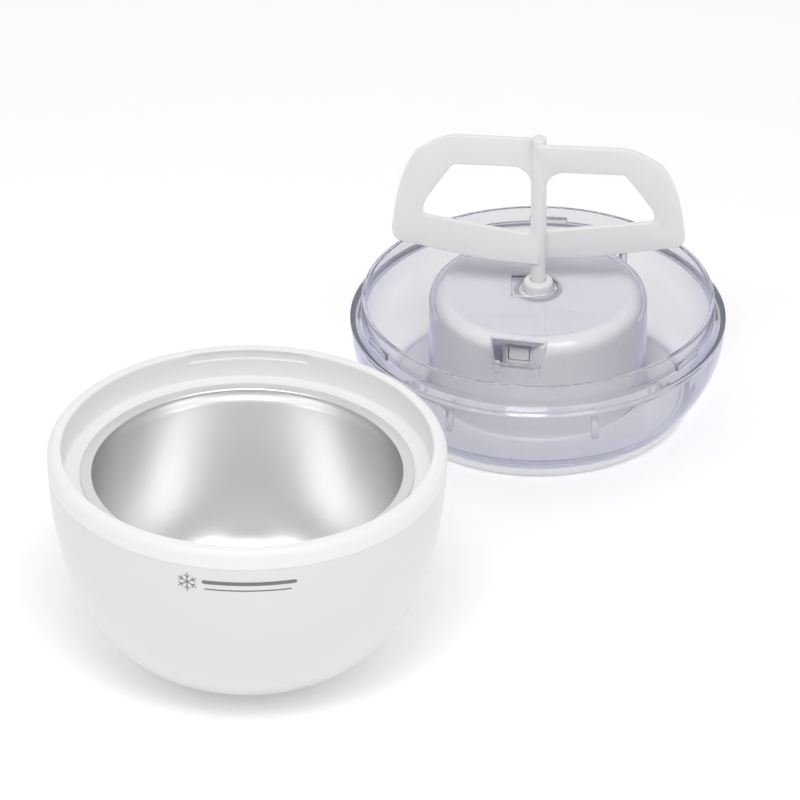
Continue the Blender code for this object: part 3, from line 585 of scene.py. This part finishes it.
def pocket_ridge():
    """A low ridge that borders the pocket."""
    def place(flat):
        height = CUP_FLOOR - 0.0003 + flat[..., 2]
        return spun(np.stack([flat[..., 0], flat[..., 1], height], -1), POCKET_TURN)

    ridge = turned_over(swept_loop(pocket_line(), 0.0009, 0.0008, place))
    piece(shown("pocket_ridge", [ridge], True), "lid", "clear_plastic")


def clear_lid():
    """Dome, deck and motor cup in one clear wall, with the flange and lip that sit on the rim."""
    outer_z = np.linspace(SEAM_Z - 0.0015, FLANGE_T + 0.0006, 36)
    inner_z = np.linspace(FLANGE_T + 0.0006, 0.036, 30)
    shoulder = bend((CUP_R - CUP_ROUND, CUP_FLOOR + CUP_ROUND), CUP_ROUND, 0, -90)
    hollow = bend((CUP_R - CUP_ROUND, CUP_FLOOR + CUP_ROUND), CUP_ROUND - LID_WALL, -90, 0)
    inner_lip = LIP_R - LID_WALL
    profile = rounded([
        (SEAM_R - 0.0006, SEAM_Z, 0.0005),
        *np.stack([dome_radius(outer_z), outer_z], -1),
        (FLANGE_R, FLANGE_T - 0.0003, 0.0009), (FLANGE_R, 0.0003, 0.0009),
        (LIP_R, 0.0003, 0.0005), (LIP_R, -LIP_DEPTH, 0.0009), (inner_lip, -LIP_DEPTH, 0.0009),
        (inner_lip, 0.0010, 0.0030),
        *np.stack([dome_radius(inner_z) - LID_WALL, inner_z], -1),
        (0.0795, DECK_Z - LID_WALL - 0.0006, 0.0020), (0.0775, DECK_Z - LID_WALL, 0.0010),
        (0.0570, DECK_Z - LID_WALL, 0.0030),
        (CUP_R, 0.030), *shoulder,
        (HUB_R + 0.0004, CUP_FLOOR, 0.0004), (HUB_R + 0.0004, CUP_FLOOR + 0.0022, 0.0004),
        *hollow,
        (0.0552, DECK_Z, 0.0020), (0.0754, DECK_Z, 0.0004), (0.0754, SEAM_Z, 0.0004),
    ], 0.0022)
    lid = shown("clear_lid_look", [turned_over(lathe(profile, 192))], True)
    tools = []
    for turn in LATCHES.values():
        tools.append(block((0.0490, -0.0068, -0.0126), (0.0650, 0.0068, -0.0022), 0.0008, turn))
    tools.append(spun(prism(pocket_line(), CUP_FLOOR - 0.004, CUP_FLOOR + 0.0016), POCKET_TURN))
    carve(lid, [turned_over(tool) for tool in tools])
    return piece(lid, "lid", "clear_plastic", "clear_lid")


def tapered(half_top, half_low, radial_top, z_top, radial_low, z_low, rounding):
    """A closed loop of points (radial, across, height): a trapezium with rounded corners that
    leans, half_top wide above and half_low below."""
    span = 0.02
    flat = rounded([(-half_top, 0.0, rounding), (half_top, 0.0, rounding),
                    (half_low, span, rounding), (-half_low, span, rounding)], 10.0)
    share = flat[:, 1] / span
    return np.stack([radial_top + (radial_low - radial_top) * share, flat[:, 0],
                     z_top + (z_low - z_top) * share], -1)


def guard(side, turn):
    """The clear hood round a latch window: four walls that run from a wide, leaning front edge
    inwards to the window in the cup, wider above than below."""
    rings = [
        tapered(0.0150, 0.0124, 0.0530, -0.0166, 0.0590, -0.0042, 0.0014),
        tapered(0.0154, 0.0128, 0.0536, -0.0170, 0.0596, -0.0038, 0.0014),
        tapered(0.0146, 0.0120, 0.0540, -0.0161, 0.0594, -0.0046, 0.0012),
        tapered(0.0142, 0.0116, 0.0535, -0.0158, 0.0588, -0.0048, 0.0012),
        tapered(0.0078, 0.0078, 0.0561, -0.0130, 0.0568, -0.0018, 0.0008),
        tapered(0.0086, 0.0086, 0.0557, -0.0138, 0.0568, -0.0010, 0.0008),
    ]
    hood = turned_over(spun(np.stack(rings), turn))
    piece(shown(f"latch_guard_{side}", [hood], True), "lid", "clear_plastic")


def lid_fittings():
    """Two legs under each hood, four upright ribs inside the dome and three small tabs on the lip,
    all rounded blocks: each name with its blocks, given by two corners, a rounding and a turn."""
    legs = [((0.0567, y - 0.0017, -0.0050), (0.0588, y + 0.0017, 0.0022), 0.0007, turn)
            for turn in LATCHES.values() for y in (-0.0104, 0.0104)]
    ribs = [((0.0885, -0.0017, 0.0085), (0.0934, 0.0017, 0.0215), 0.0016, np.radians(angle))
            for angle in RIB_ANGLES]
    tabs = [((LIP_R - 0.0006, -0.0100, -0.0050), (LIP_R + 0.0012, 0.0100, -0.0015), 0.0006,
             np.radians(angle)) for angle in NOTCHES]
    for name, blocks in {"guard_leg": legs, "wall_rib": ribs, "lip_tab": tabs}.items():
        for number, (low, high, rounding, turn) in enumerate(blocks, 1):
            made = shown(f"{name}_{number}", [turned_over(block(low, high, rounding, turn, 24))])
            piece(made, "lid", "clear_plastic")


def drive_hub():
    """The hub in the cup's floor: shaft socket above, stem socket below, chamfered end."""
    flange = CUP_FLOOR + 0.0026
    profile = rounded([
        (0.0, -0.0154), (0.0044, -0.0154), (0.0044, -0.0100, 0.0003), (0.0085, -0.0100, 0.0004),
        (0.0085, flange + 0.0010, 0.0003), (0.0100, flange + 0.0010, 0.0003), (0.0100, flange, 0.0003),
        (HUB_R, flange), (HUB_R, -0.0201, 0.0008), (0.0066, -0.0215, 0.0008),
        (STEM_R + 0.0003, -0.0215, 0.0003), (STEM_R + 0.0003, -0.0165), (0.0, -0.0165),
    ], 0.002, closed=False)
    hub = shown("drive_hub_look", [turned_over(lathe(profile, 96))])
    return piece(hub, "hub", "milky_paddle", "drive_hub")


# ---------------------------------------------------------------- paddle
def polar_reach(loop, middle, angle):
    """How far the closed loop lies from the middle in each direction."""
    dense = rounded([tuple(point) for point in loop], 0.0002)
    apart = dense - middle
    facing = np.arctan2(apart[:, 1], apart[:, 0]) % (2 * np.pi)
    order = np.argsort(facing)
    return np.interp(angle, facing[order], np.hypot(*apart[order].T), period=2 * np.pi)


def wing(half_turn):
    """One wing: the strip between its outline and its window, each given by its reach in every
    direction round a middle point. The section runs over one face, round the window's edge, back
    over the other face and round the outer edge, with rounded corners."""
    low, high = -PADDLE_REACH, PADDLE_TOP
    side_z = np.linspace(-0.0945, -0.0500, 24)
    side = np.stack([liner_radius(-side_z) - 0.0014, side_z], -1)
    outline = rounded([
        (-0.0010, low + 0.0022), (0.0490, low + 0.0020, 0.0080), *side,
        *bend((side[-1, 0] - 0.0062, high - 0.0160), 0.0060, 10, 80),
        (0.0500, high - 0.0060, 0.005), (0.0250, high - 0.0014, 0.006), (-0.0010, high),
    ], 0.001)
    floor, top, end_top = -0.0875, -0.0500, -0.0580
    window = rounded([
        *bend((0.0140, floor + 0.0100), 0.0100, 180, 270),
        *bend((0.0430, floor + 0.0030), 0.0030, 270, 320),
        (0.0530, floor + 0.0120, 0.004), (0.0590, end_top - 0.0080, 0.003),
        *bend((0.0570, end_top - 0.0030), 0.0030, 0, 90),
        *bend((0.0060, top - 0.0020), 0.0020, 90, 180),
    ], 0.001)
    middle = np.array([0.0320, -0.0700])
    angle = np.linspace(0.0, 2 * np.pi, 420, endpoint=False)
    outer, inner = polar_reach(outline, middle, angle), polar_reach(window, middle, angle)
    half, corner = PADDLE_T / 2, 0.0011
    t = np.radians(np.linspace(0, 90, 6))
    # from the outer edge up and over one face to the window's edge, and back below
    edge_in = corner * (1 - np.cos(t))
    edge_up = half - corner + corner * np.sin(t)
    reach = np.concatenate([outer[None] - edge_in[:, None], inner[None] + edge_in[::-1][:, None],
                            inner[None] + edge_in[:, None], outer[None] - edge_in[::-1][:, None]])
    up = np.concatenate([edge_up, edge_up[::-1], -edge_up, -edge_up[::-1]])
    across = middle[0] + reach * np.cos(angle)
    height = middle[1] + reach * np.sin(angle)
    centre = (low + high) / 2
    c, s = np.cos(PADDLE_PITCH), np.sin(PADDLE_PITCH)
    thick = np.broadcast_to(up[:, None], across.shape)
    grid = np.stack([across, -thick * c - (height - centre) * s,
                     centre + (height - centre) * c - thick * s], -1)
    return spun(spun(grid, half_turn), PADDLE_TURN)


def paddle():
    """Two wings pitched opposite ways on a round stem with a rounded tip, as one body."""
    low = -PADDLE_REACH
    stem = rounded([(0.0, -0.0172), (STEM_R, -0.0172, 0.0008), (STEM_R, low - 0.0002, 0.0022),
                    (0.0, low - 0.0002)], 0.004, closed=False)
    body = shown("paddle_look", [wing(0.0)], True)
    carve(body, [wing(np.pi)], "UNION", True)
    carve(body, [lathe(stem, 64)], "UNION")
    body.data.transform(over_matrix())
    return piece(body, "mixing_paddle", "milky_paddle", "paddle")


def over_matrix():
    """The same turn as turned_over, as a matrix."""
    return Matrix(((-1, 0, 0, LID_X), (0, 1, 0, 0), (0, 0, -1, SEAT), (0, 0, 0, 1)))


# ---------------------------------------------------------------- motor unit
def motor_cap():
    """The white cap: flat top, round edge, a hole for the button and a slot for the gland."""
    top, seam = SEAT, SEAM_Z + 0.0003
    profile = rounded([
        (0.0125, top, 0.0005), *bend((0.0730, top - 0.0050), 0.0050, 90, 0, 20),
        (SEAM_R - 0.0002, seam, 0.0003), (SEAM_R - 0.0027, seam),
        (SEAM_R - 0.0029, top - 0.0048, 0.003),
        (0.0715, top - 0.0024, 0.002), (0.0125, top - 0.0024),
    ], 0.003)
    cap = shown("motor_cap_look", [turned_over(lathe(profile))], True)
    slot = block((0.0700, -0.0041, SEAM_Z - 0.001), (0.0850, 0.0041, SEAT - 0.0007), 0.0006,
                 GLAND_TURN)
    return piece(carve(cap, [turned_over(slot)]), "motor_unit", "white_motor", "motor_cap")


def motor_housing():
    """The white cup round the motor, its flange on the lid's deck, with the noses' windows."""
    deck, wall = DECK_Z + 0.0003, 0.0021
    profile = rounded([
        (0.0748, deck + 0.0020, 0.0006), (0.0748, deck, 0.0006), (0.0543, deck, 0.0015),
        (0.0534, -0.0060), *bend((0.0464, -0.0066), 0.0070, -2, -90),
        (0.0110, -0.0136, 0.0004), (0.0110, -0.0114, 0.0004),
        *bend((0.0464, -0.0066), 0.0048, -90, 0), (0.0543 - wall, deck + 0.0020, 0.002),
    ], 0.003)
    housing = shown("motor_housing_look", [turned_over(lathe(profile))], True)
    tools = [turned_over(block((0.0440, -0.0058, -0.0114), (0.0580, 0.0058, -0.0032), 0.0006, turn))
             for turn in LATCHES.values()]
    return piece(carve(housing, tools), "motor_unit", "white_motor", "motor_housing")


def latch(side, turn):
    """A release lever: a slim upright blade and the nose that fills the housing's window."""
    pivot_r, pivot_z = LATCH_PIVOT
    foot = -0.0106
    lever = block((pivot_r - 0.0018, -0.0054, foot), (pivot_r + 0.0018, 0.0054, 0.0236), 0.0006, turn)
    nose = block((pivot_r - 0.0010, -0.0054, foot), (0.0528, 0.0054, -0.0036), 0.0007, turn)
    made = shown(f"latch_{side}_look", [turned_over(lever), turned_over(nose)])
    piece(made, f"{side}_latch", "white_motor", f"latch_{side}")


def power_button():
    """The push button: a dished face with a raised ring, and its stem."""
    top = SEAT - 0.0006
    profile = rounded([
        (0.0, top - 0.0005), (0.0040, top - 0.0005), (0.0052, top - 0.0002, 0.0006),
        (0.0064, top - 0.0005, 0.0006), (0.0096, top, 0.0010), (0.0120, top, 0.0009),
        (0.0120, top - 0.0040, 0.0005), (0.0024, top - 0.0040), (0.0024, top - 0.0094, 0.0004),
        (0.0, top - 0.0094),
    ], 0.001, closed=False)
    made = shown("power_button_look", [turned_over(lathe(profile, 96))])
    return piece(made, "switch_button", "grey_rubber", "power_button")


def cord_gland():
    """The oval grommet in the cap's edge: a rounded band carried round a flat oval."""
    low, high = SEAM_Z + 0.0006, SEAT - 0.0010
    tall = (high - low) / 2
    reach = 0.0038 - tall
    round_r = tall - 0.0007
    path = rounded([*bend((reach, 0.0), round_r, -90, 90), *bend((-reach, 0.0), round_r, 90, 270)],
                   0.0006)

    def place(flat):
        height = low + tall + flat[..., 1]
        return spun(np.stack([0.0756 + flat[..., 2], flat[..., 0], height], -1), GLAND_TURN)

    made = shown("cord_gland_look", [turned_over(swept_loop(path, 0.0014, 0.0042, place))], True)
    return piece(made, "motor_unit", "grey_rubber", "cord_gland")


# ---------------------------------------------------------------- studio
def floor():
    """A wide pale floor, a hair below the feet."""
    mesh = bpy.data.meshes.new("studio_floor")
    corners = [(-1, -1), (1, -1), (1, 1), (-1, 1)]
    mesh.from_pydata([(x * FLOOR_HALF, y * FLOOR_HALF, FLOOR_Z) for x, y in corners], [],
                     [(0, 1, 2, 3)])
    obj = bpy.data.objects.new("studio_floor", mesh)
    bpy.context.scene.collection.objects.link(obj)
    mesh.materials.append(plastic("studio_floor", (0.88, 0.88, 0.88), (0.87, 0.87, 0.87), 0.9,
                                  **{"Specular IOR Level": 0.0, "Emission Color": (1.0, 1.0, 1.0, 1.0),
                                     "Emission Strength": 0.20}))


def soft_box(name, at, size, power):
    """A rectangular studio light that faces the middle of the scene."""
    data = bpy.data.lights.new(name, "AREA")
    data.shape = "RECTANGLE"
    data.size, data.size_y = size
    data.energy = power
    obj = bpy.data.objects.new(name, data)
    bpy.context.scene.collection.objects.link(obj)
    obj.location = at
    obj.rotation_euler = (Vector(STUDIO_MIDDLE) - Vector(at)).to_track_quat("-Z", "Y").to_euler()


def studio():
    """Pale surroundings, brighter behind the object and with one dimmer patch in front, a key light
    high in front and two soft boxes at the sides."""
    world = bpy.data.worlds.new("studio")
    world.use_nodes = True
    bpy.context.scene.world = world
    tree = world.node_tree
    way = node(tree, "ShaderNodeTexCoord").outputs["Generated"]
    ahead = node(tree, "ShaderNodeVectorMath", {0: way, 1: FRONT}, operation="DOT_PRODUCT")
    nearer = node(tree, "ShaderNodeMapRange", {"Value": ahead.outputs["Value"], "From Min": -0.3,
                                               "From Max": 0.7})
    ramp = node(tree, "ShaderNodeValToRGB", {"Fac": nearer.outputs["Result"]})
    stops = ramp.color_ramp.elements
    stops[0].position, stops[0].color = 0.0, (0.80, 0.80, 0.80, 1.0)
    stops[1].position, stops[1].color = 1.0, (0.56, 0.56, 0.56, 1.0)
    patch = node(tree, "ShaderNodeMapRange", {"Value": ahead.outputs["Value"], "From Min": 0.92,
                                              "From Max": 0.99}, interpolation_type="SMOOTHSTEP")
    dimmed = node(tree, "ShaderNodeMix", {"Factor": patch.outputs["Result"]}, data_type="RGBA")
    tree.links.new(ramp.outputs["Color"], dimmed.inputs["A"])
    dimmed.inputs["B"].default_value = (0.30, 0.30, 0.31, 1.0)
    background = tree.nodes["Background"]
    tree.links.new(dimmed.outputs["Result"], background.inputs["Color"])
    background.inputs["Strength"].default_value = 1.0
    soft_box("key_box", (-0.720, -0.420, 1.695), (0.6, 0.6), 10.0)
    soft_box("left_box", (-1.14, 0.20, 1.38), (0.7, 0.9), 3.0)
    soft_box("right_box", (-0.32, -1.11, 1.38), (0.7, 0.9), 4.0)
    bpy.context.scene.view_settings.view_transform = "Standard"


def camera():
    """A long lens that looks down at both halves from the bowl's left."""
    level = np.cos(CAMERA_ELEVATION)
    back = np.array([np.sin(CAMERA_AZIMUTH) * level, -np.cos(CAMERA_AZIMUTH) * level,
                     np.sin(CAMERA_ELEVATION)])
    right = np.array([np.cos(CAMERA_AZIMUTH), np.sin(CAMERA_AZIMUTH), 0.0])
    across, up = CAMERA_SHIFT
    target = np.array([0.0, 0.0, BOWL_H]) + right * across + np.cross(back, right) * up
    data = bpy.data.cameras.new("camera")
    data.lens = CAMERA_LENS
    data.sensor_width = 36.0
    data.clip_end = 200.0
    obj = bpy.data.objects.new("camera", data)
    bpy.context.scene.collection.objects.link(obj)
    obj.location = target + back * CAMERA_DISTANCE
    obj.rotation_euler = Vector(-back).to_track_quat("-Z", "Y").to_euler()
    bpy.context.scene.camera = obj


def inner_works():
    """The solids that keep their shape take their slot's finish."""
    for part in frame["record"]["subparts"]:
        obj = frame["nodes"][part["node"]]
        obj.data.materials.clear()
        obj.data.materials.append(FINISH[part["material_slot"]])


def main():
    inner_works()
    outer_shell()
    rim_ring()
    liner()
    printed_mark()
    clear_lid()
    pocket_ridge()
    for side, turn in LATCHES.items():
        guard(side, turn)
        latch(side, turn)
    lid_fittings()
    drive_hub()
    paddle()
    motor_cap()
    motor_housing()
    power_button()
    cord_gland()
    floor()
    studio()
    camera()


main()
